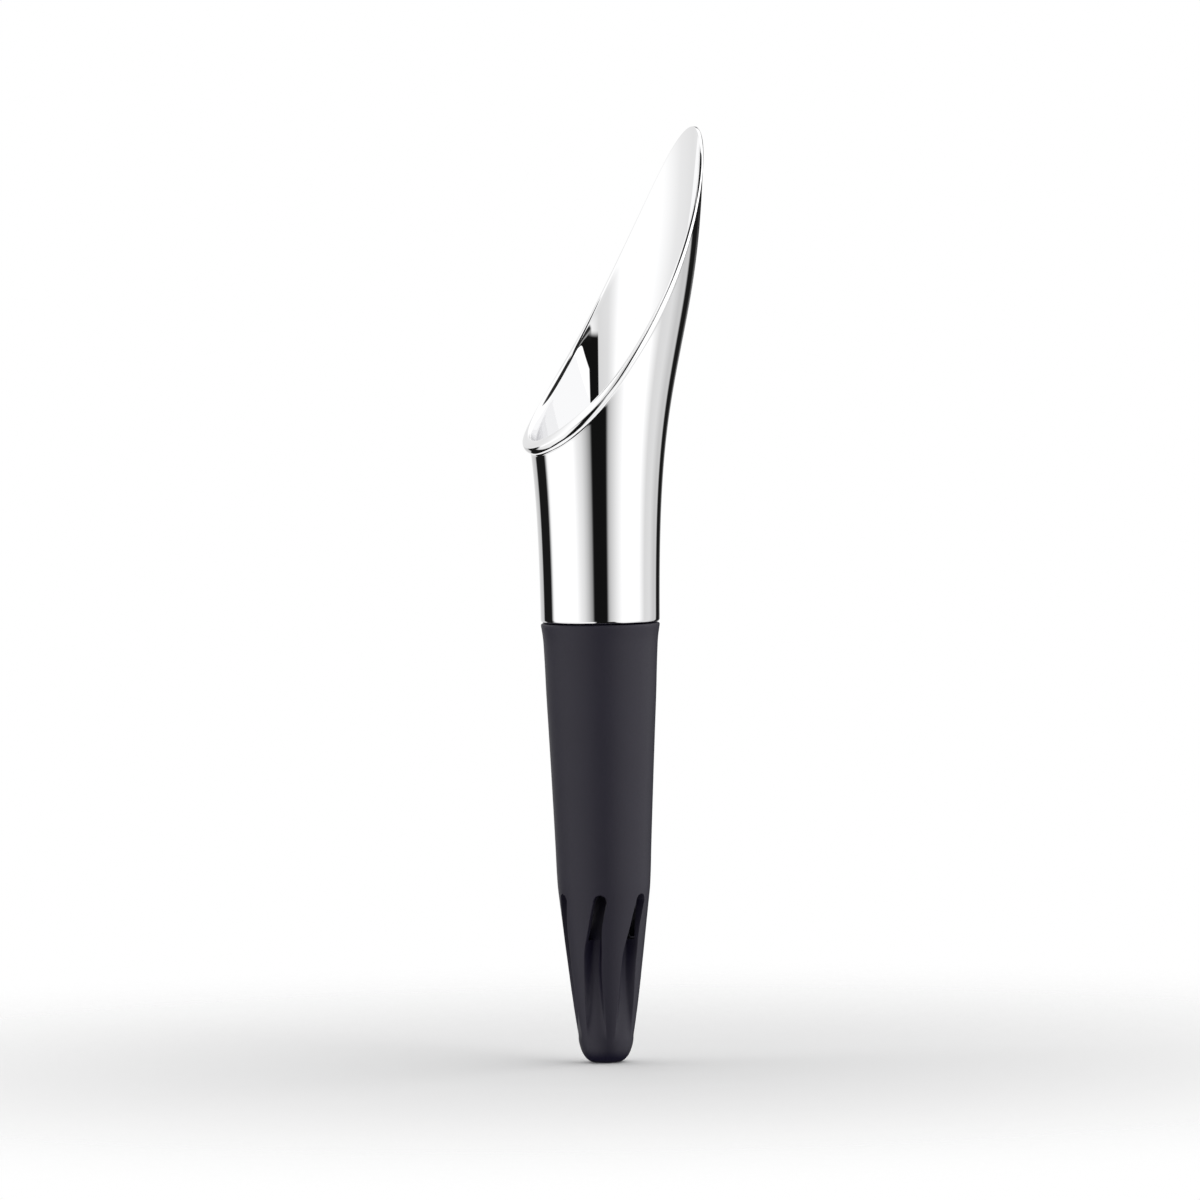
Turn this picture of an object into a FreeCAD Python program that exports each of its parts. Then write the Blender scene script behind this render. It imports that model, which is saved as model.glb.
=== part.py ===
"""Bar pour spout: a polished steel horn on a tapered bottle plug with a fluted, windowed nose.

Lengths are in millimetres. The origin is on the axis, in the middle of the band that seals in a bottle's
neck. +Z runs up the axis, +Y points to the pouring tip (the tall back wall of the horn), and the horn's mouth
opens towards -Y. The heights below are measured from the plug's top rim, and main() moves the pieces to the
origin.
"""
import FreeCAD
import Part

import math
import os

from FreeCAD import Vector

# ---- driving dimensions, mm ----
# horn: a body of revolution whose radius grows along an S-curve
FOOT_Z = 0.15            # leaves a shadow gap above the plug's rim
FOOT_R = 10.05           # outer radius that the S-curve starts from
FLARE = 9.05             # how much the S-curve adds to it
FLARE_Z = 47.5           # height of the S-curve's steepest point
FLARE_SPREAD = 10.8      # how softly the S-curve turns
FOOT_WALL = 1.1
TIP_WALL = 0.6
WALL_SWELL = 0.7         # how much thicker the wall is where the horn flares
SWELL_Z = 47.0           # height of the thickest wall
SWELL_REACH = 27.0       # the swelling fades out this far above and below
FOOT_ROUND = 0.5         # rounding of the foot's outer edge

# middle of the mouth's rim, seen from the side: one cubic curve from the front lip to the pouring tip
LIP_Y = -11.8
LIP_Z = 30.1
LIP_SLOPE = 1.1
TIP_Y = 18.5
TIP_Z = 84.0
TIP_SLOPE = 3.16
LIP_PROUD = 1.1          # how far the rolled rim stands out of the wall at the lip
ROLL_START = 25.0        # the roll sinks into the wall between these two turns from the lip, degrees
ROLL_END = 100.0
BEAD_SPARE = 0.12        # added to the bead's radius, so that it laps over both faces of the wall
RIM_POINTS = 24          # points round the rim that its curves pass through
RIM_STEP = 0.01          # turn, in radians, over which the rim's direction is taken
WALL_POINTS = 16         # points up the horn's wall that its curves pass through
TRIM = 3.0               # how far the shell goes on above the tip before the mouth is cut

# spigot: turned steel, closes the horn's foot and plugs into the core tube
SPIGOT_R = 5.6
SPIGOT_BORE_R = 4.3
SPIGOT_END_Z = -27.0
SPIGOT_CHAMFER = 0.5
FUNNEL_LOW_Z = 2.0       # where the funnel meets the bore
FUNNEL_TOP_Z = 5.0       # and where it meets the horn's wall

# core tube: rigid liner bonded inside the plug, with two O-ring grooves in its bore
CORE_BORE_R = 5.65
CORE_R = 7.4
CORE_SEAT_Z = -27.3      # step that the spigot's end stops at
CORE_LOW_BORE_R = 5.2
CORE_LOW_R = 6.6
CORE_LOW_Z = -30.0
CORE_END_Z = -44.0
BARB_R = 7.9
BARB_LENGTH = 2.0
BARB_ZS = (-4.0, -12.0, -23.0)
GROOVE_R = 6.75
GROOVE_LENGTH = 1.4
GROOVE_ZS = {"upper_o_ring": -8.0, "lower_o_ring": -19.0}
RING_PLAY = 0.02         # an O-ring's gap to the spigot and to its groove's floor

# plug: soft sleeve and nose in one piece
RIM_R = 10.17            # widest point, at the top
RIM_ROUND = 0.3
NECK_R = 9.7             # below the flared rim
NECK_Z = -4.8
SEAT_R = 9.25            # short parallel band that seals in an 18.5 mm bottle bore
SEAT_TOP_Z = -14.2
SEAT_LENGTH = 3.0
SHOULDER_R = 8.0
SHOULDER_Z = -43.9
SHOULDER_BEND_R = 7.88   # where the sleeve's and the nose's tapers would cross
SHOULDER_BEND_Z = -45.9
NOSE_R = 7.6             # where the nose's taper starts
NOSE_Z = -47.9
TAPER_R = 5.82           # and where it ends
TAPER_Z = -63.4
TAPER_BEND_R = 5.19
TAPER_BEND_Z = -68.9
TIP_ROUND_R = 4.73       # where the nose's end starts to round off
TIP_ROUND_Z = -71.3
TIP_BEND_R = 4.1
TIP_BEND_Z = -75.2
NOSE_FLAT_R = 1.9
NOSE_END_Z = -75.3
NOSE_BORE_R = 6.2        # blind bore that the windows open into
NOSE_FLOOR_Z = -54.0     # its floor, from which a cone stands up in the middle
CONE_R = 4.5
CONE_TOP_R = 0.6
CONE_TOP_Z = -45.2

# flutes: channels up the nose that break into the bore as windows
FLUTES = 6
FLUTE_ANGLE = -42.5      # direction of one flute, degrees from +X
FLUTE_HALF = 1.62        # half width of the straight lower part
FLUTE_LEFT_Z = -60.3     # where the left wall turns straight
FLUTE_RIGHT_Z = -56.8    # and the right wall
FLUTE_LOW_Z = -73.0
FLUTE_FLOOR_Z = -53.8    # top of the flute's floor, and so the window's lower edge
FLUTE_FLOOR_R = 4.55     # floor's radius there, just outside the cone's foot
FLUTE_FLOOR_LOW_R = 4.9  # and at the low end
WINDOW_TOP_Z = -47.4     # centre of the window's round top
WINDOW_OFFSET = 1.95     # how far it leans sideways
WINDOW_HALF = 1.05
WINDOW_LEAN = 0.6        # sideways part of the lean, over the rise below
WINDOW_LEAN_RISE = 4.6
RIGHT_EASE = 0.6         # how much shorter the lean's curve is on the right wall

REACH = 40.0             # cutting tools reach this far beyond the part
UP = Vector(0, 0, 1)
ORIGIN = Vector(0, 0, 0)


# ---- helpers ----
def at(radius, z):
    """A point of a profile, in the half-plane that is revolved."""
    return Vector(radius, 0, z)


def spline(points):
    curve = Part.BSplineCurve()
    curve.interpolate(points)
    return curve.toShape()


def bezier(points):
    curve = Part.BezierCurve()
    curve.setPoles(points)
    return curve.toShape()


def arc(a, middle, b):
    return Part.Arc(a, middle, b).toShape()


def revolve(edges):
    return Part.Face(Part.Wire(edges)).revolve(ORIGIN, UP, 360)


def turned(points):
    """A solid of revolution with this straight-sided profile of (radius, z) points."""
    corners = [at(radius, z) for radius, z in points]
    return Part.Face(Part.makePolygon(corners + corners[:1])).revolve(ORIGIN, UP, 360)


def cylinder(radius, low, high):
    return Part.makeCylinder(radius, high - low, at(0, low))


def spin(shape, degrees):
    copy = shape.copy()
    copy.rotate(ORIGIN, UP, degrees)
    return copy


# ---- horn ----
def horn_radius(z):
    """Outer radius of the horn at height z."""
    return FOOT_R + FLARE / (1 + math.exp(-(z - FLARE_Z) / FLARE_SPREAD))


def horn_wall(z):
    """Thickness of the horn's wall at height z."""
    away = min(abs(z - SWELL_Z) / SWELL_REACH, 1)
    swell = WALL_SWELL * math.cos(away * math.pi / 2) ** 2
    return FOOT_WALL + (TIP_WALL - FOOT_WALL) * z / TIP_Z + swell


def rim_height(y):
    """Height of the rim's cubic curve at y."""
    span = TIP_Y - LIP_Y
    rise = TIP_Z - LIP_Z
    start = LIP_SLOPE * span
    end = TIP_SLOPE * span
    share = (y - LIP_Y) / span
    square = 3 * rise - 2 * start - end
    cube = start + end - 2 * rise
    return LIP_Z + start * share + square * share ** 2 + cube * share ** 3


def rim_proud(angle):
    """How far the rolled rim stands out of the wall at this angle."""
    turn = math.degrees(abs(math.remainder(angle + math.pi / 2, 2 * math.pi)))
    fade = min(max((turn - ROLL_START) / (ROLL_END - ROLL_START), 0), 1)
    return LIP_PROUD * (1 - fade * fade * (3 - 2 * fade))


def rim_point(angle):
    """Middle of the rolled rim at this angle."""
    proud = rim_proud(angle)
    z = (LIP_Z + TIP_Z) / 2
    for _ in range(60):
        radius = horn_radius(z) + (proud - horn_wall(z)) / 2
        z = (z + rim_height(radius * math.sin(angle))) / 2
    return Vector(radius * math.cos(angle), radius * math.sin(angle), z)


def rim_angles():
    """Angles round the axis at which the rim is worked out, from the lip."""
    return [2 * math.pi * i / RIM_POINTS - math.pi / 2 for i in range(RIM_POINTS)]


def horn_shell():
    """The full flared shell, before the mouth is cut."""
    low = FOOT_Z + FOOT_ROUND
    rise = (TIP_Z + TRIM - low) / WALL_POINTS
    heights = [low + rise * i for i in range(WALL_POINTS + 1)]
    outer = [at(horn_radius(z), z) for z in heights]
    inner = [at(horn_radius(z) - horn_wall(z), z) for z in heights]
    corner = FOOT_ROUND * (1 - math.sqrt(0.5))
    foot_inner = at(inner[0].x, FOOT_Z)
    foot_outer = at(outer[0].x - FOOT_ROUND, FOOT_Z)
    return revolve([
        spline(outer),
        Part.makeLine(outer[-1], inner[-1]),
        spline(inner),
        Part.makeLine(inner[0], foot_inner),
        Part.makeLine(foot_inner, foot_outer),
        arc(foot_outer, at(outer[0].x - corner, FOOT_Z + corner), outer[0]),
    ])


def rim_loop(scale):
    """The rim as a closed curve, scaled outwards from the axis."""
    points = [rim_point(angle) for angle in rim_angles()]
    curve = Part.BSplineCurve()
    curve.interpolate([Vector(p.x * scale, p.y * scale, p.z) for p in points], True)
    return curve.toShape()


def rim_bead():
    """Rolled rim: a round bead that is thickest at the lip and wraps the edge of the wall."""
    sections = []
    for angle in rim_angles():
        centre = rim_point(angle)
        along = rim_point(angle + RIM_STEP) - rim_point(angle - RIM_STEP)
        radius = (rim_proud(angle) + horn_wall(centre.z)) / 2 + BEAD_SPARE
        sections.append(Part.Wire(Part.makeCircle(radius, centre, along)))
    return Part.makeLoft(sections, True, False, True)


def make_horn():
    """The flared shell, cut square to its wall along the rim, with the rolled rim joined on."""
    mouth = Part.makeRuledSurface(rim_loop(0.5), rim_loop(1.5))
    pieces = horn_shell().generalFuse([mouth])[0].Solids
    horn = min(pieces, key=lambda piece: piece.BoundBox.ZMin)
    return horn.fuse(rim_bead())


# ---- spigot, core tube and seals ----
def make_spigot():
    """A tube with a funnel-shaped flange, which the horn's wall trims to fit."""
    blank = turned([
        (SPIGOT_BORE_R, SPIGOT_END_Z),
        (SPIGOT_R - SPIGOT_CHAMFER, SPIGOT_END_Z),
        (SPIGOT_R, SPIGOT_END_Z + SPIGOT_CHAMFER),
        (SPIGOT_R, FOOT_Z),
        (FOOT_R - FOOT_ROUND, FOOT_Z),
        (FOOT_R - FOOT_ROUND, FUNNEL_TOP_Z),
        (FOOT_R - FOOT_WALL, FUNNEL_TOP_Z),
        (SPIGOT_BORE_R, FUNNEL_LOW_Z),
    ])
    return blank.cut(horn_shell())


def core_blank():
    """Outside of the core tube, with its barbs, as a filled solid."""
    body = turned([
        (0, 0),
        (CORE_R, 0),
        (CORE_R, CORE_SEAT_Z),
        (CORE_LOW_R, CORE_LOW_Z),
        (CORE_LOW_R, CORE_END_Z),
        (0, CORE_END_Z),
    ])
    for top in BARB_ZS:
        low = top - BARB_LENGTH
        body = body.fuse(turned([(0, top), (BARB_R, top), (CORE_R, low), (0, low)]))
    return body.removeSplitter()


def make_core_tube():
    core = core_blank()
    core = core.cut(cylinder(CORE_BORE_R, CORE_SEAT_Z, 1))
    core = core.cut(cylinder(CORE_LOW_BORE_R, CORE_END_Z - 1, CORE_SEAT_Z + 1))
    for middle in GROOVE_ZS.values():
        core = core.cut(cylinder(GROOVE_R, middle - GROOVE_LENGTH / 2, middle + GROOVE_LENGTH / 2))
    return core


def make_o_ring(middle):
    inner = SPIGOT_R + RING_PLAY
    outer = GROOVE_R - RING_PLAY
    return Part.makeTorus((inner + outer) / 2, (outer - inner) / 2, at(0, middle))


# ---- plug ----
def plug_body():
    """Outside of the plug, before the flutes and the bore."""
    seat_low_z = SEAT_TOP_Z - SEAT_LENGTH
    corner = RIM_ROUND * (1 - math.sqrt(0.5))
    rim_top = at(RIM_R - RIM_ROUND, 0)
    rim_side = at(RIM_R, -RIM_ROUND)
    neck = at(NECK_R, NECK_Z)
    seat_top = at(SEAT_R, SEAT_TOP_Z)
    seat_low = at(SEAT_R, seat_low_z)
    shoulder = at(SHOULDER_R, SHOULDER_Z)
    nose = at(NOSE_R, NOSE_Z)
    taper = at(TAPER_R, TAPER_Z)
    tip_round = at(TIP_ROUND_R, TIP_ROUND_Z)
    flat = at(NOSE_FLAT_R, NOSE_END_Z)
    end = at(0, NOSE_END_Z)
    return revolve([
        Part.makeLine(at(0, 0), rim_top),
        arc(rim_top, at(RIM_R - corner, -corner), rim_side),
        bezier([rim_side, at(NECK_R, NECK_Z / 2), neck]),
        Part.makeLine(neck, seat_top),
        Part.makeLine(seat_top, seat_low),
        Part.makeLine(seat_low, shoulder),
        bezier([shoulder, at(SHOULDER_BEND_R, SHOULDER_BEND_Z), nose]),
        Part.makeLine(nose, taper),
        bezier([taper, at(TAPER_BEND_R, TAPER_BEND_Z), tip_round]),
        bezier([tip_round, at(TIP_BEND_R, TIP_BEND_Z), flat]),
        Part.makeLine(flat, end),
        Part.makeLine(end, at(0, 0)),
    ])


def flute_tool():
    """One flute: a channel that leans sideways at the top, outside the cone and the nose's solid middle."""
    top_left = Vector(0, WINDOW_OFFSET - WINDOW_HALF, WINDOW_TOP_Z)
    top = Vector(0, WINDOW_OFFSET, WINDOW_TOP_Z + WINDOW_HALF)
    top_right = Vector(0, WINDOW_OFFSET + WINDOW_HALF, WINDOW_TOP_Z)
    left = Vector(0, -FLUTE_HALF, FLUTE_LEFT_Z)
    right = Vector(0, FLUTE_HALF, FLUTE_RIGHT_Z)
    low_left = Vector(0, -FLUTE_HALF, FLUTE_LOW_Z)
    low_right = Vector(0, FLUTE_HALF, FLUTE_LOW_Z)
    left_ease = Vector(0, 0, (WINDOW_TOP_Z - FLUTE_LEFT_Z) / 2)
    right_ease = Vector(0, 0, (WINDOW_TOP_Z - FLUTE_RIGHT_Z) / 2)
    lean = Vector(0, WINDOW_LEAN, WINDOW_LEAN_RISE)
    face = Part.Face(Part.Wire([
        arc(top_left, top, top_right),
        bezier([top_right, top_right - lean * RIGHT_EASE, right + right_ease, right]),
        Part.makeLine(right, low_right),
        Part.makeLine(low_right, low_left),
        Part.makeLine(low_left, left),
        bezier([left, left + left_ease, top_left - lean, top_left]),
    ]))
    middle = turned([
        (0, CORE_END_Z),
        (FLUTE_FLOOR_R, CORE_END_Z),
        (FLUTE_FLOOR_R, FLUTE_FLOOR_Z),
        (FLUTE_FLOOR_LOW_R, FLUTE_LOW_Z - 1),
        (0, FLUTE_LOW_Z - 1),
    ])
    return face.extrude(Vector(REACH, 0, 0)).cut(middle)


def nose_bore():
    """Blind bore, with the cone that stands in its middle left out."""
    return turned([
        (0, CORE_END_Z + 1),
        (NOSE_BORE_R, CORE_END_Z + 1),
        (NOSE_BORE_R, NOSE_FLOOR_Z),
        (CONE_R, NOSE_FLOOR_Z),
        (CONE_TOP_R, CONE_TOP_Z),
        (0, CONE_TOP_Z),
    ])


def make_plug():
    plug = plug_body()
    tool = flute_tool()
    for i in range(FLUTES):
        plug = plug.cut(spin(tool, FLUTE_ANGLE + 360 * i / FLUTES))
    return plug.cut(nose_bore()).cut(core_blank())


def main():
    rim_to_origin = Vector(0, 0, SEAT_LENGTH / 2 - SEAT_TOP_Z)
    pieces = {
        "spout": make_horn(),
        "spout_spigot": make_spigot(),
        "core_tube": make_core_tube(),
        "plug": make_plug(),
    }
    for name, middle in GROOVE_ZS.items():
        pieces[name] = make_o_ring(middle)
    os.makedirs("parts", exist_ok=True)
    for name, shape in pieces.items():
        shape.translate(rim_to_origin)
        shape.exportStep("parts/" + name + ".step")


main()
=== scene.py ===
"""Bar pour spout: a mirror-polished steel horn on a charcoal rubber plug with a fluted, windowed nose.

Lengths are in millimetres until a mesh is made. The axis is +Z, the pouring tip is towards +Y and the
mouth opens towards -Y. Heights are measured from the plug's top rim, and meshes are moved to where the
frame has that rim.
"""
import math

import bmesh
import bpy
import numpy as np
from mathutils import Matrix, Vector


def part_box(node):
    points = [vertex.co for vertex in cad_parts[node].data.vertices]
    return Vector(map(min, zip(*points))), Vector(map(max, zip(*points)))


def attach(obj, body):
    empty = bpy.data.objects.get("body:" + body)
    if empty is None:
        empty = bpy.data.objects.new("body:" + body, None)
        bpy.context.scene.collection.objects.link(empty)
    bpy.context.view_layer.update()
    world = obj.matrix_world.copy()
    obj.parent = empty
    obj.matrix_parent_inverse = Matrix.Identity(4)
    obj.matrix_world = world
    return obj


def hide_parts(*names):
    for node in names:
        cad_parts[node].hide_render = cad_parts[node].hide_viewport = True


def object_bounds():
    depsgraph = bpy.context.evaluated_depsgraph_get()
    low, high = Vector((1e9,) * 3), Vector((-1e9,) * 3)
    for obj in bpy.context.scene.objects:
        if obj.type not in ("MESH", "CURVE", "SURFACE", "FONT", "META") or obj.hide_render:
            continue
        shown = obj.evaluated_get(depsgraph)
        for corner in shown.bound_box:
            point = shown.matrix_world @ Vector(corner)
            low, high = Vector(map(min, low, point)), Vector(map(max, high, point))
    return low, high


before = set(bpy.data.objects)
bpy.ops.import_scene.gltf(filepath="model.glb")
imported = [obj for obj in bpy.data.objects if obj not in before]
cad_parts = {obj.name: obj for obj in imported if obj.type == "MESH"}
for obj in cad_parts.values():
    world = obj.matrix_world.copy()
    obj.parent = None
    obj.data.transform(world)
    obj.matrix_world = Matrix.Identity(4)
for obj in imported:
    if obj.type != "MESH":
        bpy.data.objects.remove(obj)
cad_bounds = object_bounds()

MM = 0.001
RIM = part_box("plug")[1][2]     # height of the plug's top rim in the frame, metres

# ---- horn, mm ----
FOOT_Z = 0.15            # leaves a shadow gap above the plug's rim
FOOT_R = 10.05
FLARE = 9.05             # how much the horn's radius grows, along an S-curve
FLARE_Z = 47.5           # height of the S-curve's steepest point
FLARE_SPREAD = 10.8      # how softly it turns
FOOT_WALL = 1.1
TIP_WALL = 0.6
WALL_SWELL = 0.7         # how much thicker the wall is where the horn flares
SWELL_Z = 47.0
SWELL_REACH = 27.0
FOOT_ROUND = 0.5
FOOT_ROUND_ROWS = 4
LIP_Y = -11.8            # the rim's crest, seen from the side, is a cubic from here
LIP_Z = 31.3
LIP_SLOPE = 1.1
TIP_Y = 18.8             # to here
TIP_Z = 84.5
TIP_SLOPE = 3.16
LIP_PROUD = 1.2          # how far the rim's roll stands out of the wall at the lip
TIP_PROUD = 0.06         # and at the tip
ROLL_START = 25.0        # the roll sinks into the wall between these two turns from the lip, degrees
ROLL_END = 100.0
UNDERCUT = 0.76          # share of the roll's underside that is left round, above its blend into the wall
BLEND_EASE = 1.2         # length of that blend, as a share of the undercut's step out of the wall
BLEND_LEAST = 0.05       # and at least this
BLEND_PULL = 0.6         # how long the blend keeps the roll's direction, as the same share
BLEND_LEAST_SINE = 0.3   # sine of the shallowest undercut that lengthens that pull
OUTER_FACET = 1.45       # 1 is a round section, more is flat where the roll faces outwards and up
INNER_FACET = (          # the same for its inner half, at turns from the lip in degrees; less is square
    (25, 1.45), (90, 0.85), (140, 0.75), (158, 0.25),
)
LIP_OUTER = 0.5          # share of the rim's thickness that is outside its crest, at the lip
TIP_OUTER = 0.28         # and at the tip
RIM_TRIES = 80           # steps that find the rim's height
HORN_SHARP = 50          # edges that bend more than this are sharp, degrees
HORN_COLUMNS = 400
WALL_ROWS = 80
BLEND_ROWS = 8
ROLL_ROWS = 30

# ---- spigot, mm ----
SPIGOT_R = 5.6
SPIGOT_BORE_R = 4.3
SPIGOT_END_Z = -27.0
SPIGOT_CHAMFER = 0.5
FUNNEL_LOW_Z = 2.0
FUNNEL_TOP_Z = 5.0
SPIGOT_GAP = 0.01        # keeps its flange off the horn's wall
FLANGE_ROWS = 8
SPIGOT_SHARP = 20

# ---- plug, mm ----
SLEEVE = (               # radius and height of the outline's points
    (10.17, -0.3), (9.86, -2.4), (9.68, -5.3), (9.41, -12.1), (9.12, -18.0), (8.6, -29.2), (8.2, -38.5),
    (8.03, -43.0), (7.9, -45.2), (7.6, -47.9), (7.18, -51.5), (6.6, -56.6), (5.82, -63.4), (5.14, -68.55),
    (4.73, -71.3),
)
RIM_ROUND = 0.3
NOSE_END_Z = -75.3
NOSE_FLAT_R = 1.9
NOSE_BEND_R = 4.1        # bend between the nose's side and its flat end
NOSE_BEND_Z = -75.2
FLUTES = 6
FLUTE_PITCH = 360.0 / FLUTES
FLUTE_ANGLE = -42.7      # direction of one flute's straight part, degrees from +X
FLUTE_SWING = 14.9       # degrees that its top is turned from there
FLUTE_SWING_Z = -60.3    # where the turn starts
FLUTE_SWING_EASE = 1.8   # 1 is a straight slant, and more turns later
WINDOW_Z = -47.4         # centre of the window's round top
WINDOW_HALF = 1.18       # half width of a flute at its window, in its middle and at the nose
FLUTE_HALF = 1.58
FLUTE_LOW_HALF = 1.75
WIDEN_Z = -51.0          # where it starts to widen, and how far on it is as wide as in the middle
WIDEN_REACH = 6.0
WIDEN_LOW_Z = -58.0      # and the same for the nose
WIDEN_LOW_REACH = 12.0
FLUTE_FLOOR_R = 4.5
FLUTE_FLOOR_Z = -53.8
FLUTE_FLOOR_SLOPE = 0.012
FLUTE_STEEP = 4.5        # how steep a flute's walls are in its lower part, as a power
WINDOW_STEEP = 8.5       # and at its window
STEEP_Z = -60.0          # where they start to steepen
STEEP_REACH = 10.0
FLUTE_ROUND = 0.24       # rounding of its edges, where it is 1 mm deep or more
FLUTE_ROUND_LEAST = 0.2  # share of that rounding that is left where it is shallow
BORE_TOP_Z = 1.0         # the cut for the bore starts above the rim
CORE_R = 7.4
CORE_LOW_R = 6.6
CORE_STEP_Z = -27.3
CORE_LOW_Z = -30.0
CORE_END_Z = -44.0
NOSE_BORE_R = 6.2
NOSE_FLOOR_Z = -54.0
CONE_R = 4.5             # cone that stands up in the middle of the bore
CONE_TOP_R = 0.6
CONE_TOP_Z = -45.2
PLUG_SHARP = 38
CORNER_ROWS = 4
NOSE_ROWS = 19
LAND_COLUMNS = 10        # columns between two flutes
BORE_COLUMNS = 160

# ---- floor, metres ----
FLOOR_R = 0.35
FLOOR_FADE_START = 0.028
FLOOR_FADE_END = 0.21

# ---- camera ----
CAMERA_AZIMUTH = 67.5    # degrees
CAMERA_ELEVATION = 2.5
CAMERA_LEAN = 0.8        # the pourer leans to the left by this
CAMERA_DISTANCE = 1.6
FRAME_HEIGHT = 0.2051    # height of what the frame shows, at the axis
AIM_Z = 3.9              # height that is in the middle of the frame
TOWARDS_CAMERA = (math.sin(math.radians(CAMERA_AZIMUTH)), -math.cos(math.radians(CAMERA_AZIMUTH)), 0)
RIGHTWARDS = (math.cos(math.radians(CAMERA_AZIMUTH)), math.sin(math.radians(CAMERA_AZIMUTH)), 0)


# ---- helpers ----
def smoothstep(x):
    x = np.clip(x, 0.0, 1.0)
    return x * x * (3 - 2 * x)


def smooth_min(a, b, rounding):
    """The lower of a and b, with the corner between them rounded off."""
    h = np.clip(0.5 + 0.5 * (b - a) / rounding, 0.0, 1.0)
    return b * (1 - h) + a * h - rounding * h * (1 - h)


def shade(mesh, sharp_degrees):
    """Shades a mesh smooth, but for the edges that bend more than this."""
    work = bmesh.new()
    work.from_mesh(mesh)
    for face in work.faces:
        face.smooth = True
    limit = math.radians(sharp_degrees)
    for edge in work.edges:
        edge.smooth = len(edge.link_faces) == 2 and edge.calc_face_angle() < limit
    work.to_mesh(mesh)
    work.free()


def mesh_object(name, points, faces):
    """An object from points in millimetres, its faces turned outwards."""
    mesh = bpy.data.meshes.new(name)
    mesh.from_pydata([tuple(p) for p in np.asarray(points) * MM + (0, 0, RIM)], [], faces)
    mesh.validate()
    work = bmesh.new()
    work.from_mesh(mesh)
    bmesh.ops.recalc_face_normals(work, faces=work.faces)
    work.to_mesh(mesh)
    work.free()
    thing = bpy.data.objects.new(name, mesh)
    bpy.context.scene.collection.objects.link(thing)
    return thing


def full_turn(columns):
    return np.linspace(0, 2 * math.pi, columns, endpoint=False)


def quarter_turn(rows):
    """Turns that round off a corner. The last one, a quarter turn, is left out."""
    return np.linspace(0, math.pi / 2, rows + 1)[:-1]


def ring(radius, z, turn):
    """Points at these angles round the axis."""
    return np.stack([radius * np.cos(turn), radius * np.sin(turn), np.full_like(turn, z)], axis=-1)


def grid_faces(rows, columns, closed_rows):
    """Quads of a grid whose columns join up round the axis, and whose rows may join up too."""
    faces = []
    for i in range(rows if closed_rows else rows - 1):
        below = i * columns
        above = (i + 1) % rows * columns
        for j in range(columns):
            k = (j + 1) % columns
            faces.append((below + j, below + k, above + k, above + j))
    return faces


def closed_shell(name, rows, sharp_degrees):
    """A solid ring: each row joins the next, and the last one joins the first."""
    count, columns = rows.shape[:2]
    thing = mesh_object(name, rows.reshape(-1, 3), grid_faces(count, columns, True))
    shade(thing.data, sharp_degrees)
    return thing


def capped_solid(name, rows):
    """A solid from closed rings of points, capped flat at both ends."""
    count, columns = rows.shape[:2]
    faces = grid_faces(count, columns, False)
    points = rows.reshape(-1, 3)
    for end in (0, count - 1):
        centre = len(points)
        points = np.vstack([points, rows[end].mean(axis=0)])
        base = end * columns
        faces += [(base + j, base + (j + 1) % columns, centre) for j in range(columns)]
    return mesh_object(name, points, faces)


def turned_solid(name, outline, columns):
    """A capped solid from the radii and heights of its outline."""
    turn = full_turn(columns)
    rows = [ring(r, z, turn) for r, z in outline]
    return capped_solid(name, np.array(rows))


# ---- horn ----
def horn_radius(z):
    """Outer radius of the horn at height z."""
    return FOOT_R + FLARE / (1 + np.exp(-(z - FLARE_Z) / FLARE_SPREAD))


def horn_slope(z):
    """How fast that radius grows with height."""
    share = (horn_radius(z) - FOOT_R) / FLARE
    return FLARE * share * (1 - share) / FLARE_SPREAD


def horn_wall(z):
    """Thickness of the horn's wall at height z."""
    away = np.minimum(np.abs(z - SWELL_Z) / SWELL_REACH, 1)
    return FOOT_WALL + (TIP_WALL - FOOT_WALL) * z / TIP_Z + WALL_SWELL * np.cos(away * math.pi / 2) ** 2


def horn_point(theta, z, out):
    """A point this far outside the horn's outer surface, at this angle and height."""
    slope = horn_slope(z)
    length = np.sqrt(1 + slope ** 2)
    radius = horn_radius(z) + out / length
    return np.stack([radius * np.cos(theta), radius * np.sin(theta), z - out * slope / length], axis=-1)


def rim_height(y):
    """Side view of the rim: height at y, with a given slope at each end."""
    span = TIP_Y - LIP_Y
    u = (y - LIP_Y) / span
    rise = TIP_Z - LIP_Z
    start = LIP_SLOPE * span
    end = TIP_SLOPE * span
    return LIP_Z + start * u + (3 * rise - 2 * start - end) * u ** 2 + (start + end - 2 * rise) * u ** 3


def rim_z(theta):
    """Height of the rim at these angles, found step by step as the radius depends on it."""
    z = np.full_like(theta, (LIP_Z + TIP_Z) / 2)
    for _ in range(RIM_TRIES):
        z = (z + rim_height(horn_radius(z) * np.sin(theta))) / 2
    return z


def rim_frame(theta):
    """Height of the rim, and the step in angle and height for 1 mm along the wall, square to the rim."""
    z = rim_z(theta)
    step = 1e-3
    rise = (rim_z(theta + step) - rim_z(theta - step)) / (2 * step)
    radius = horn_radius(z)
    stretch = np.sqrt(1 + horn_slope(z) ** 2)
    along = np.hypot(radius, rise * stretch)
    turn = -rise * stretch / along / radius
    climb = radius / along / stretch
    return z, turn, climb


def turn_from_lip(theta):
    """Degrees round from the lip's middle."""
    return np.degrees(np.abs(np.angle(np.exp(1j * (theta + math.pi / 2)))))


def ease_round(theta, at_lip, at_tip):
    """Goes from one value to the other where the roll sinks into the wall."""
    share = smoothstep((turn_from_lip(theta) - ROLL_START) / (ROLL_END - ROLL_START))
    return at_lip + (at_tip - at_lip) * share


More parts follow.
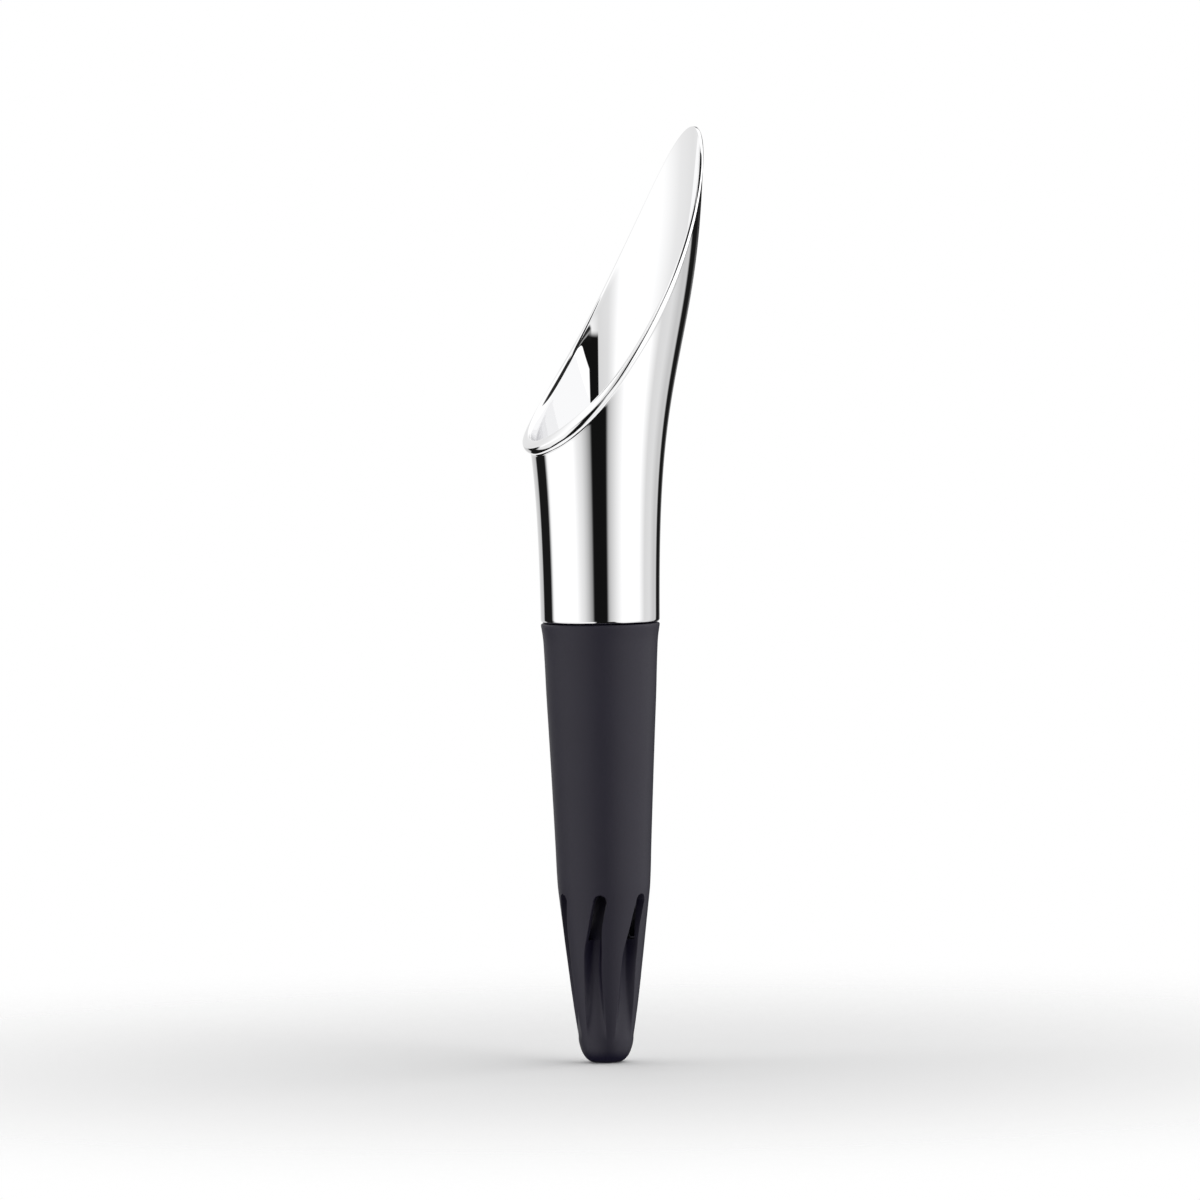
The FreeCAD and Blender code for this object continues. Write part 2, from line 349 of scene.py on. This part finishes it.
def roll_blend(start_up, start_out, undercut):
    """The hollow between the wall and the roll's underside, as a Bezier curve up to where the roll starts."""
    ease = BLEND_EASE * start_out + BLEND_LEAST
    handle = BLEND_PULL * start_out / max(math.sin(undercut), BLEND_LEAST_SINE)
    ups = [start_up - ease, start_up - ease / 2, start_up - handle * math.cos(undercut), start_up]
    outs = [0.0, 0.0, start_out - handle * math.sin(undercut), start_out]
    t = np.linspace(0, 1, BLEND_ROWS + 1)[:-1]
    weights = [(1 - t) ** 3, 3 * t * (1 - t) ** 2, 3 * t * t * (1 - t), t ** 3]
    blend_up = sum(w * u for w, u in zip(weights, ups))
    blend_out = sum(w * o for w, o in zip(weights, outs))
    return blend_up, blend_out


def roll_section(proud, wall, inner_facet, outer_share):
    """The rim's section, as steps along the wall (up is positive) and out of it.

    It goes from the outer wall through a concave blend, round the roll and to the inner wall.
    """
    radius = (proud + wall) / 2
    outer = 2 * radius * outer_share
    crest = proud - outer
    undercut = UNDERCUT * math.acos(np.clip(-crest / outer, -1, 1))
    start_up = -radius - radius * math.sin(undercut)
    start_out = crest + outer * math.cos(undercut)
    blend_up, blend_out = roll_blend(start_up, start_out, undercut)
    turn = np.linspace(-undercut, math.pi, ROLL_ROWS)
    facet = np.where(turn > 0, OUTER_FACET, 1.0)
    facet[turn > math.pi / 2] = inner_facet
    reach = np.where(turn > math.pi / 2, 2 * radius - outer, outer)
    roll_up = radius * np.sign(turn) * np.abs(np.sin(turn)) ** facet - radius
    roll_out = crest + reach * np.sign(np.cos(turn)) * np.abs(np.cos(turn)) ** facet
    return np.concatenate([blend_up, roll_up]), np.concatenate([blend_out, roll_out])


def wall_rows(foot_z, top_theta, top_z, theta):
    """Angles and heights of rows up a wall, from the foot to just below where the roll begins."""
    t = np.linspace(0, 1, WALL_ROWS)[:, None]
    z = foot_z + (top_z - foot_z) * t
    return (theta + (top_theta - theta) * t ** 3)[:-1], z[:-1]


def horn_grid():
    """Rows of points round the horn: up its outside, over the rim and down its inside."""
    theta = full_turn(HORN_COLUMNS)
    z, turn, climb = rim_frame(theta)
    prouds = ease_round(theta, LIP_PROUD, TIP_PROUD)
    facets = np.interp(turn_from_lip(theta), *zip(*INNER_FACET))
    shares = ease_round(theta, LIP_OUTER, TIP_OUTER)
    sections = [roll_section(*sizes) for sizes in zip(prouds, horn_wall(z), facets, shares)]
    ups = np.array([s[0] for s in sections]).T
    outs = np.array([s[1] for s in sections]).T
    roll_theta = theta + turn * ups
    roll_z = z + climb * ups
    foot_top = FOOT_Z + FOOT_ROUND
    outer_theta, outer_z = wall_rows(foot_top, roll_theta[0], roll_z[0], theta)
    inner_theta, inner_z = wall_rows(FOOT_Z, roll_theta[-1], roll_z[-1], theta)
    corner = quarter_turn(FOOT_ROUND_ROWS)
    foot_r = horn_radius(foot_top) - FOOT_ROUND + FOOT_ROUND * np.sin(corner)
    foot_z = FOOT_Z + FOOT_ROUND * (1 - np.cos(corner))
    rows = [ring(r, z, theta) for r, z in zip(foot_r, foot_z)]
    rows += list(horn_point(outer_theta, outer_z, 0.0))
    rows += list(horn_point(roll_theta, roll_z, outs))
    rows += list(horn_point(inner_theta, inner_z, -horn_wall(inner_z)))[::-1]
    return np.array(rows)


def make_horn():
    return closed_shell("horn", horn_grid(), HORN_SHARP)


# ---- spigot ----
def make_spigot():
    """A turned ring section: tube, flange against the horn's inner wall, and funnel."""
    flange_z = np.linspace(FOOT_Z, FUNNEL_TOP_Z, FLANGE_ROWS)
    flange_r = horn_radius(flange_z) - horn_wall(flange_z) - SPIGOT_GAP
    outline = [
        (SPIGOT_BORE_R, FUNNEL_LOW_Z),
        (SPIGOT_BORE_R, SPIGOT_END_Z),
        (SPIGOT_R - SPIGOT_CHAMFER, SPIGOT_END_Z),
        (SPIGOT_R, SPIGOT_END_Z + SPIGOT_CHAMFER),
        (SPIGOT_R, FOOT_Z),
    ]
    outline += list(zip(flange_r, flange_z))
    turn = full_turn(HORN_COLUMNS)
    rows = np.array([ring(radius, z, turn) for radius, z in outline])
    return closed_shell("spigot", rows, SPIGOT_SHARP)


# ---- plug ----
def sleeve_radius(z):
    """Outer radius at height z: a smooth curve through the outline's points."""
    radii = np.array([p[0] for p in SLEEVE])[::-1]
    heights = np.array([p[1] for p in SLEEVE])[::-1]
    slopes = np.gradient(radii, heights)
    i = np.clip(np.searchsorted(heights, z) - 1, 0, len(heights) - 2)
    span = heights[i + 1] - heights[i]
    t = (z - heights[i]) / span
    return ((2 * t ** 3 - 3 * t ** 2 + 1) * radii[i] + (t ** 3 - 2 * t ** 2 + t) * span * slopes[i]
            + (3 * t ** 2 - 2 * t ** 3) * radii[i + 1] + (t ** 3 - t ** 2) * span * slopes[i + 1])


def nose_outline(low_z):
    """The rounded end of the nose below low_z, as radii and heights."""
    start_r = float(sleeve_radius(np.array(low_z)))
    t = np.linspace(0, 1, NOSE_ROWS + 1)[1:]
    radii = (1 - t) ** 2 * start_r + 2 * t * (1 - t) * NOSE_BEND_R + t * t * NOSE_FLAT_R
    heights = (1 - t) ** 2 * low_z + 2 * t * (1 - t) * NOSE_BEND_Z + t * t * NOSE_END_Z
    return radii, heights


def flute_swing(z):
    share = np.clip((z - FLUTE_SWING_Z) / (WINDOW_Z - FLUTE_SWING_Z), 0, 1)
    return FLUTE_SWING * share ** FLUTE_SWING_EASE


def flute_half(z):
    opening = smoothstep((WIDEN_Z - z) / WIDEN_REACH)
    half = WINDOW_HALF + (FLUTE_HALF - WINDOW_HALF) * opening
    widening = np.clip((WIDEN_LOW_Z - z) / WIDEN_LOW_REACH, 0, 1)
    return half + (FLUTE_LOW_HALF - FLUTE_HALF) * widening


def flute_depth(offset, z, radius):
    """How far the surface is sunk at this sideways offset from a flute's middle."""
    above = np.maximum(z - WINDOW_Z, 0)
    across = np.hypot(offset, above) / flute_half(z)
    power = FLUTE_STEEP + (WINDOW_STEEP - FLUTE_STEEP) * smoothstep((z - STEEP_Z) / STEEP_REACH)
    return full_depth(z, radius) * (1 - across ** power)


def full_depth(z, radius):
    """Depth of a flute in its middle."""
    return np.maximum(radius - FLUTE_FLOOR_R - FLUTE_FLOOR_SLOPE * (FLUTE_FLOOR_Z - z), 0.0)


def plug_columns(z, radius):
    """Angles of the columns at height z, and their angles from a flute's middle.

    The columns follow the flutes, and bunch up at their edges.
    """
    half = np.degrees(np.arcsin(flute_half(z) / radius))
    # places to one side of a flute's middle, as shares of its half width: its floor, its edge and beside it
    side = np.concatenate([np.linspace(0, 0.72, 8), np.linspace(0.76, 1.16, 15), [1.24, 1.34]])
    across = np.concatenate([-side[:0:-1], side])
    land_start = side[-1] * half
    land = np.linspace(land_start, FLUTE_PITCH - land_start, LAND_COLUMNS + 2)[1:-1]
    sector = np.concatenate([across * half, land])
    middles = FLUTE_ANGLE + flute_swing(z) + FLUTE_PITCH * np.arange(FLUTES)
    return (middles[:, None] + sector).ravel(), np.tile(sector, FLUTES)


def plug_rows():
    """Heights of the rows down the outside, closer together over the flutes."""
    return np.concatenate([
        np.linspace(-RIM_ROUND, -4.0, 8),
        np.linspace(-4.0, -42.0, 28)[1:],
        np.linspace(-42.0, -46.0, 10)[1:],
        np.linspace(-46.0, -48.0, 16)[1:],
        np.linspace(-48.0, SLEEVE[-1][1], 110)[1:],
    ])


def fluted_radius(z, radius, offsets):
    """Radii round the plug at height z, with the flutes sunk in and their edges rounded."""
    from_middle = np.where(offsets > FLUTE_PITCH / 2, offsets - FLUTE_PITCH, offsets)
    sideways = radius * np.sin(np.radians(from_middle))
    sunk = radius - flute_depth(sideways, z, radius)
    rounding = FLUTE_ROUND * np.clip(full_depth(z, radius), FLUTE_ROUND_LEAST, 1)
    return smooth_min(np.full_like(sunk, radius), sunk, rounding)


def plug_skin():
    """Rows of points down the plug's outside, from its rim to the nose's flat end."""
    rows = []
    angles, _ = plug_columns(-RIM_ROUND, sleeve_radius(np.array(-RIM_ROUND)))
    rim_r = SLEEVE[0][0] - RIM_ROUND
    for turn in quarter_turn(CORNER_ROWS):
        rows.append((angles, rim_r + RIM_ROUND * np.sin(turn), -RIM_ROUND + RIM_ROUND * np.cos(turn)))
    for z in plug_rows():
        radius = float(sleeve_radius(np.array(z)))
        angles, offsets = plug_columns(z, radius)
        rows.append((angles, fluted_radius(z, radius, offsets), z))
    for radius, z in zip(*nose_outline(SLEEVE[-1][1])):
        rows.append((angles, radius, z))
    return np.array([ring(radius, z, np.radians(angles)) for angles, radius, z in rows])


def bore_outline():
    """Radius and height down the plug's bore: the core tube's seat, then the nose with its cone."""
    return [
        (CORE_R, BORE_TOP_Z),
        (CORE_R, CORE_STEP_Z),
        (CORE_LOW_R, CORE_LOW_Z),
        (CORE_LOW_R, CORE_END_Z),
        (NOSE_BORE_R, CORE_END_Z),
        (NOSE_BORE_R, NOSE_FLOOR_Z),
        (CONE_R, NOSE_FLOOR_Z),
        (CONE_TOP_R, CONE_TOP_Z),
    ]


def make_plug():
    skin = capped_solid("plug_body", plug_skin())
    bore = turned_solid("plug_bore", bore_outline(), BORE_COLUMNS)
    cut = skin.modifiers.new("bore", "BOOLEAN")
    cut.operation = "DIFFERENCE"
    cut.solver = "EXACT"
    cut.object = bore
    graph = bpy.context.evaluated_depsgraph_get()
    mesh = bpy.data.meshes.new_from_object(skin.evaluated_get(graph))
    skin.modifiers.clear()
    skin.data = mesh
    bpy.data.objects.remove(bore)
    shade(mesh, PLUG_SHARP)
    return skin


# ---- materials ----
def new_material(name):
    material = bpy.data.materials.new(name)
    material.use_nodes = True
    tree = material.node_tree
    return material, tree, tree.nodes["Principled BSDF"]


def add_node(tree, kind, **settings):
    node = tree.nodes.new(kind)
    for key, value in settings.items():
        if key in node.inputs:
            node.inputs[key].default_value = value
        else:
            setattr(node, key, value)
    return node


def noise(tree, scale, detail, stretch=(1, 1, 1)):
    """A noise pattern in object space. scale is in cycles per metre."""
    place = tree.nodes.new("ShaderNodeTexCoord")
    mapping = tree.nodes.new("ShaderNodeMapping")
    mapping.inputs["Scale"].default_value = stretch
    tree.links.new(place.outputs["Object"], mapping.inputs["Vector"])
    node = add_node(tree, "ShaderNodeTexNoise", Scale=scale, Detail=detail)
    tree.links.new(mapping.outputs["Vector"], node.inputs["Vector"])
    return node


def spread(tree, source, low, high):
    """Maps a noise pattern to low-high. Nearly all of the pattern lies between 0.3 and 0.7."""
    node = tree.nodes.new("ShaderNodeMapRange")
    node.inputs["From Min"].default_value = 0.3
    node.inputs["From Max"].default_value = 0.7
    node.inputs["To Min"].default_value = low
    node.inputs["To Max"].default_value = high
    tree.links.new(source, node.inputs["Value"])
    return node.outputs["Result"]


def add_bump(tree, shader, source, strength, distance):
    node = add_node(tree, "ShaderNodeBump", Strength=strength, Distance=distance)
    tree.links.new(source, node.inputs["Height"])
    tree.links.new(node.outputs["Normal"], shader.inputs["Normal"])


def polished_steel():
    material, tree, shader = new_material("polished_steel")
    shader.inputs["Metallic"].default_value = 1.0
    shader.inputs["Base Color"].default_value = (0.965, 0.965, 0.97, 1)
    haze = noise(tree, 90.0, 3.0)
    tree.links.new(spread(tree, haze.outputs["Fac"], 0.003, 0.015), shader.inputs["Roughness"])
    return material


def rubber():
    material, tree, shader = new_material("charcoal_rubber")
    cloud = noise(tree, 160.0, 3.0)
    mix = tree.nodes.new("ShaderNodeMix")
    mix.data_type = "RGBA"
    mix.inputs["A"].default_value = (0.0090, 0.0078, 0.019, 1)
    mix.inputs["B"].default_value = (0.0120, 0.0105, 0.024, 1)
    tree.links.new(cloud.outputs["Fac"], mix.inputs["Factor"])
    tree.links.new(mix.outputs["Result"], shader.inputs["Base Color"])
    grain = noise(tree, 9000.0, 2.0)
    tree.links.new(spread(tree, grain.outputs["Fac"], 0.48, 0.6), shader.inputs["Roughness"])
    add_bump(tree, shader, grain.outputs["Fac"], 0.25, 0.00002)
    # Painted shade: ambient occlusion turns the sheen down where the rubber is closed in, in the flutes'
    # hollows and near the floor, so these read darker
    open_air = add_node(tree, "ShaderNodeAmbientOcclusion", Distance=3 * MM, samples=8)
    sheen_shaded_in_hollows = slide(tree, open_air.outputs["AO"], 0.45, 0.92, 0.03, 0.5)
    tree.links.new(sheen_shaded_in_hollows, shader.inputs["Specular IOR Level"])
    shader.inputs["Specular Tint"].default_value = (0.99, 0.96, 1.0, 1)
    return material


def turned_steel():
    material, tree, shader = new_material("turned_steel")
    shader.inputs["Metallic"].default_value = 1.0
    shader.inputs["Base Color"].default_value = (0.62, 0.61, 0.6, 1)
    rings = noise(tree, 1500.0, 2.0, (0.02, 0.02, 1))
    tree.links.new(spread(tree, rings.outputs["Fac"], 0.2, 0.34), shader.inputs["Roughness"])
    add_bump(tree, shader, rings.outputs["Fac"], 0.3, 0.00002)
    return material


def moulded_plastic():
    material, tree, shader = new_material("moulded_plastic")
    shader.inputs["Base Color"].default_value = (0.02, 0.02, 0.022, 1)
    grain = noise(tree, 5000.0, 2.0)
    tree.links.new(spread(tree, grain.outputs["Fac"], 0.4, 0.55), shader.inputs["Roughness"])
    add_bump(tree, shader, grain.outputs["Fac"], 0.2, 0.00002)
    return material


def seal_rubber():
    material, tree, shader = new_material("seal_rubber")
    shader.inputs["Base Color"].default_value = (0.012, 0.012, 0.012, 1)
    grain = noise(tree, 7000.0, 2.0)
    tree.links.new(spread(tree, grain.outputs["Fac"], 0.3, 0.42), shader.inputs["Roughness"])
    add_bump(tree, shader, grain.outputs["Fac"], 0.15, 0.00001)
    return material


def paint(thing, material):
    thing.data.materials.clear()
    thing.data.materials.append(material)


def paint_node(name, material):
    """Gives a CAD node a material through its object's slots."""
    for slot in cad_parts[name].material_slots:
        slot.link = "OBJECT"
        slot.material = material


# ---- surroundings ----
# How bright the surroundings are at azimuths from the camera, rightwards: above the horizon, where the
# inside of the mouth looks; below it, where the horn's sides look; and far below it, where the lip's
# underside looks.
HIGH_RING = (
    (-180, 0.50), (-177, 0.84), (-140, 0.78), (-112, 0.84), (-84, 1.04), (-32, 1.04), (-26, 0.90),
    (-18, 0.75), (-4, 0.70), (15, 1.08), (40, 1.40), (120, 1.60), (128, 1.30), (136, 0.70), (140, 0.01),
    (176, 0.02), (180, 0.50),
)
LOW_RING = (
    (-180, 0.85), (-171, 0.80), (-150, 0.60), (-141, 0.55), (-137, 0.01), (-108, 0.01), (-101, 0.95),
    (-94, 1.08), (-46, 1.08), (-37, 0.87), (-29, 0.74), (-21, 0.52), (-14, 0.27), (-10.8, 0.006),
    (13.8, 0.006), (18, 0.46), (22, 0.60), (32, 0.82), (45, 1.08), (80, 1.08), (96, 0.71), (111, 0.74),
    (126, 0.57), (136, 0.60), (140, 0.01), (156, 0.01), (163, 0.10), (172, 0.35), (180, 0.80),
)
DEEP_RING = (
    (-180, 0.85), (-171, 0.60), (-166, 0.01), (-118, 0.01), (-110, 0.80), (-60, 0.95), (80, 0.95),
    (96, 0.71), (111, 0.74), (126, 0.57), (136, 0.60), (140, 0.01), (156, 0.01), (163, 0.10),
    (172, 0.35), (180, 0.85),
)
HORIZON = -1.9           # elevations where one part changes to the next, and over how many degrees
HORIZON_BLEND = 1.2
DEEP = -24.0             # below this is the deep ring
DEEP_BLEND = 3.0
NADIR = -68.0            # and below this it is dark
NADIR_BLEND = 3.0
NADIR_BLACK = 0.01
SKY = 1.08               # brightness overhead
SKY_START = 34.0
SKY_BLEND = 24.0
BLACK = 0.006            # brightness of the card and the strip
CARD_LEFT = -2.8         # edges of the black card over the camera, degrees
CARD_RIGHT = 12.5
CARD_FLARE = 28.0        # where its right edge has run out to at its top
CARD_FLARE_START = 20.0
CARD_TOP = 24.3
CARD_EDGE = 0.6          # softness of its edges, degrees
STRIP_MIDDLE = 0.16      # black strip under the camera, as a rightward part of the direction
STRIP_HALF = 0.30
STRIP_EDGE = 0.04
STRIP_FRONT = 0.06       # it fades in over this much of the direction's part towards the camera
# Dark seams overhead. Each has the direction that is square to it, as rightwards, up and towards the
# camera; half of its width in degrees; and the elevation where it starts.
SEAMS = (
    ((-0.752, -0.358, 0.553), 15.0, CARD_TOP),
    ((0.514, 0.729, -0.452), 9.0, 37.5),
)
SEAM_EDGE = 2.0
SEAM_BLACK = 0.02
SEAM_FRONT = 5.0         # they are only on the camera's side, from this many degrees in front of the axis
SEAM_FRONT_BLEND = 10.0
GLOW_REFLECTIONS = 2     # from this many reflections on, an even glow is seen in place of all this
MOUTH_GLOW = 1.02        # its brightness, which makes the mouth a soft haze
DEEP_REFLECTIONS = 7
DEEP_GLOW = 0.75         # and its brightness after that many


def brightness_ramp(tree, angle, stops):
    """A ramp of brightness round the horizon. angle is in radians."""
    share = math_node(tree, "ADD", math_node(tree, "DIVIDE", angle, 2 * math.pi), 0.5)
    ramp = tree.nodes.new("ShaderNodeValToRGB")
    elements = ramp.color_ramp.elements
    while len(elements) < len(stops):
        elements.new(0.5)
    for element, (angle, value) in zip(elements, stops):
        element.position = (angle + 180) / 360
        element.color = (value, value, value, 1)
    tree.links.new(share, ramp.inputs["Fac"])
    return ramp.outputs["Color"]


def sine(degrees):
    return math.sin(math.radians(degrees))


def step_up(tree, part, elevation, softness):
    """0 below this elevation and 1 above it, over this many degrees.

    part is the direction's z, or its part along another direction that elevation is measured towards.
    """
    node = tree.nodes.new("ShaderNodeMapRange")
    node.interpolation_type = "SMOOTHSTEP"
    node.inputs["From Min"].default_value = sine(elevation - softness / 2)
    node.inputs["From Max"].default_value = sine(elevation + softness / 2)
    tree.links.new(part, node.inputs["Value"])
    return node.outputs["Result"]


def slide(tree, value, low, high, at_low, at_high):
    """at_low up to low, at_high from high, and a straight slope between them."""
    node = tree.nodes.new("ShaderNodeMapRange")
    for name, number in (("From Min", low), ("From Max", high), ("To Min", at_low), ("To Max", at_high)):
        node.inputs[name].default_value = number
    tree.links.new(value, node.inputs["Value"])
    return node.outputs["Result"]


def blend(tree, factor, low, high):
    """Mixes two colours, each a socket or a brightness."""
    node = tree.nodes.new("ShaderNodeMix")
    node.data_type = "RGBA"
    tree.links.new(factor, node.inputs["Factor"])
    for name, source in (("A", low), ("B", high)):
        if isinstance(source, (int, float)):
            node.inputs[name].default_value = (source, source, source, 1)
        else:
            tree.links.new(source, node.inputs[name])
    return node.outputs["Result"]


def math_node(tree, operation, *sources):
    node = tree.nodes.new("ShaderNodeMath")
    node.operation = operation
    for i, source in enumerate(sources):
        if isinstance(source, (int, float)):
            node.inputs[i].default_value = source
        else:
            tree.links.new(source, node.inputs[i])
    return node.outputs[0]


def dot(tree, direction, vector):
    node = tree.nodes.new("ShaderNodeVectorMath")
    node.operation = "DOT_PRODUCT"
    tree.links.new(direction, node.inputs[0])
    node.inputs[1].default_value = vector
    return node.outputs["Value"]


def camera_vector(across, up, along):
    """A vector in the scene from its rightward, upward and towards-the-camera parts."""
    return tuple(across * r + up * u + along * t for r, u, t in zip(RIGHTWARDS, (0, 0, 1), TOWARDS_CAMERA))


def card_mask(tree, angle, height):
    """1 on the card over the camera and 0 round it. Its right edge flares out towards its top."""
    degrees = math_node(tree, "MULTIPLY", angle, 180 / math.pi)
    edge = slide(tree, height, sine(CARD_FLARE_START), sine(CARD_TOP), CARD_RIGHT, CARD_FLARE)
    off_right = math_node(tree, "SUBTRACT", degrees, edge)
    left_of_edge = slide(tree, off_right, -CARD_EDGE, CARD_EDGE, 1, 0)
    right_of_edge = slide(tree, degrees, CARD_LEFT - CARD_EDGE, CARD_LEFT + CARD_EDGE, 0, 1)
    card = math_node(tree, "MULTIPLY", left_of_edge, right_of_edge)
    return blend(tree, step_up(tree, height, CARD_TOP, CARD_EDGE), card, 0)


def seam_mask(tree, off_seam, height, half, start):
    """1 on a seam and 0 round it. off_seam is the direction's part square to the seam."""
    beside = step_up(tree, math_node(tree, "ABSOLUTE", off_seam), half, SEAM_EDGE)
    seam = math_node(tree, "SUBTRACT", 1.0, beside)
    return math_node(tree, "MULTIPLY", seam, step_up(tree, height, start, SEAM_EDGE))


def strip_mask(tree, aside, ahead):
    """1 on the strip under the camera and 0 round it."""
    off_strip = math_node(tree, "ABSOLUTE", math_node(tree, "SUBTRACT", aside, STRIP_MIDDLE))
    strip = slide(tree, off_strip, STRIP_HALF - STRIP_EDGE, STRIP_HALF + STRIP_EDGE, 1, 0)
    return math_node(tree, "MULTIPLY", strip, slide(tree, ahead, 0.0, STRIP_FRONT, 0, 1))


def studio(tree, direction):
    """Brightness of the surroundings in each direction, as the outside of the horn mirrors them."""
    ahead = dot(tree, direction, TOWARDS_CAMERA)
    aside = dot(tree, direction, RIGHTWARDS)
    height = dot(tree, direction, (0, 0, 1))
    angle = math_node(tree, "ARCTAN2", aside, ahead)
    sky = step_up(tree, height, SKY_START, SKY_BLEND)
    high = blend(tree, sky, brightness_ramp(tree, angle, HIGH_RING), SKY)
    high = blend(tree, card_mask(tree, angle, height), high, BLACK)
    in_front = step_up(tree, ahead, SEAM_FRONT, SEAM_FRONT_BLEND)
    for square, half, start in SEAMS:
        off_seam = dot(tree, direction, camera_vector(*square))
        seam = seam_mask(tree, off_seam, height, half, start)
        high = blend(tree, math_node(tree, "MULTIPLY", seam, in_front), high, SEAM_BLACK)
    above_horizon = step_up(tree, height, HORIZON, HORIZON_BLEND)
    around = blend(tree, above_horizon, brightness_ramp(tree, angle, LOW_RING), high)
    above_nadir = step_up(tree, height, NADIR, NADIR_BLEND)
    deep = blend(tree, above_nadir, NADIR_BLACK, brightness_ramp(tree, angle, DEEP_RING))
    deep = blend(tree, strip_mask(tree, aside, ahead), deep, BLACK)
    return blend(tree, step_up(tree, height, DEEP, DEEP_BLEND), deep, around)


def haze_over(tree, around, ray_depth):
    """Puts the even glow in place of the surroundings after enough reflections.

    A ray that reaches the background without a reflection has a depth of 1 there.
    """
    reflections = math_node(tree, "SUBTRACT", ray_depth, 1.0)
    glow = slide(tree, reflections, GLOW_REFLECTIONS, DEEP_REFLECTIONS, MOUTH_GLOW, DEEP_GLOW)
    reflected_often = math_node(tree, "GREATER_THAN", reflections, GLOW_REFLECTIONS - 0.5)
    return blend(tree, reflected_often, around, glow)


def make_world():
    """White to the camera, and a drawn studio to everything that mirrors it."""
    world = bpy.data.worlds.new("studio")
    world.use_nodes = True
    bpy.context.scene.world = world
    tree = world.node_tree
    background = tree.nodes["Background"]
    around = studio(tree, tree.nodes.new("ShaderNodeTexCoord").outputs["Generated"])
    path = tree.nodes.new("ShaderNodeLightPath")
    around = haze_over(tree, around, path.outputs["Ray Depth"])
    tree.links.new(blend(tree, path.outputs["Is Camera Ray"], around, 1.0), background.inputs["Color"])
    world.cycles.sampling_method = "MANUAL"
    world.cycles.sample_map_resolution = 1024


def make_floor(low_z):
    """A pale round floor that fades out into the white surroundings."""
    bpy.ops.mesh.primitive_circle_add(vertices=128, radius=FLOOR_R, fill_type="NGON", location=(0, 0, low_z))
    floor = bpy.context.object
    floor.name = "floor"
    material, tree, shader = new_material("pale_floor")
    shader.inputs["Base Color"].default_value = (0.97, 0.97, 0.97, 1)
    shader.inputs["Roughness"].default_value = 0.9
    place = tree.nodes.new("ShaderNodeTexCoord")
    length = tree.nodes.new("ShaderNodeVectorMath")
    length.operation = "LENGTH"
    tree.links.new(place.outputs["Object"], length.inputs[0])
    fade = tree.nodes.new("ShaderNodeMapRange")
    fade.interpolation_type = "SMOOTHSTEP"
    fade.inputs["From Min"].default_value = FLOOR_FADE_START
    fade.inputs["From Max"].default_value = FLOOR_FADE_END
    fade.inputs["To Min"].default_value = 1.0
    fade.inputs["To Max"].default_value = 0.0
    tree.links.new(length.outputs["Value"], fade.inputs["Value"])
    tree.links.new(fade.outputs["Result"], shader.inputs["Alpha"])
    paint(floor, material)
    floor.visible_glossy = False


def make_camera():
    azimuth = math.radians(CAMERA_AZIMUTH)
    elevation = math.radians(CAMERA_ELEVATION)
    back = Vector((math.sin(azimuth) * math.cos(elevation), -math.cos(azimuth) * math.cos(elevation),
                   math.sin(elevation)))
    middle = Vector((0, 0, RIM + AIM_Z * MM))
    data = bpy.data.cameras.new("camera")
    data.sensor_width = 36
    data.lens = data.sensor_width * CAMERA_DISTANCE / FRAME_HEIGHT
    camera = bpy.data.objects.new("camera", data)
    bpy.context.scene.collection.objects.link(camera)
    camera.location = middle + back * CAMERA_DISTANCE
    aim = back.to_track_quat("Z", "Y").to_matrix().to_4x4()
    camera.rotation_euler = aim.to_euler()
    camera.rotation_euler.rotate_axis("Z", math.radians(-CAMERA_LEAN))
    bpy.context.scene.camera = camera


# ---- scene ----
steel = polished_steel()
horn = make_horn()
paint(horn, steel)
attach(horn, "spout")
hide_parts("spout")

plug = make_plug()
paint(plug, rubber())
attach(plug, "plug")
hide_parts("plug")

spigot = make_spigot()
paint(spigot, turned_steel())
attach(spigot, "spout")
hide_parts("spout_spigot")

paint_node("core_tube", moulded_plastic())
seals = seal_rubber()
paint_node("upper_o_ring", seals)
paint_node("lower_o_ring", seals)

make_world()
make_floor(cad_bounds[0][2])
make_camera()
bpy.context.scene.view_settings.view_transform = "Standard"
bpy.context.scene.cycles.max_bounces = 28
bpy.context.scene.cycles.glossy_bounces = 24     # the mouth's lower end mirrors itself many times
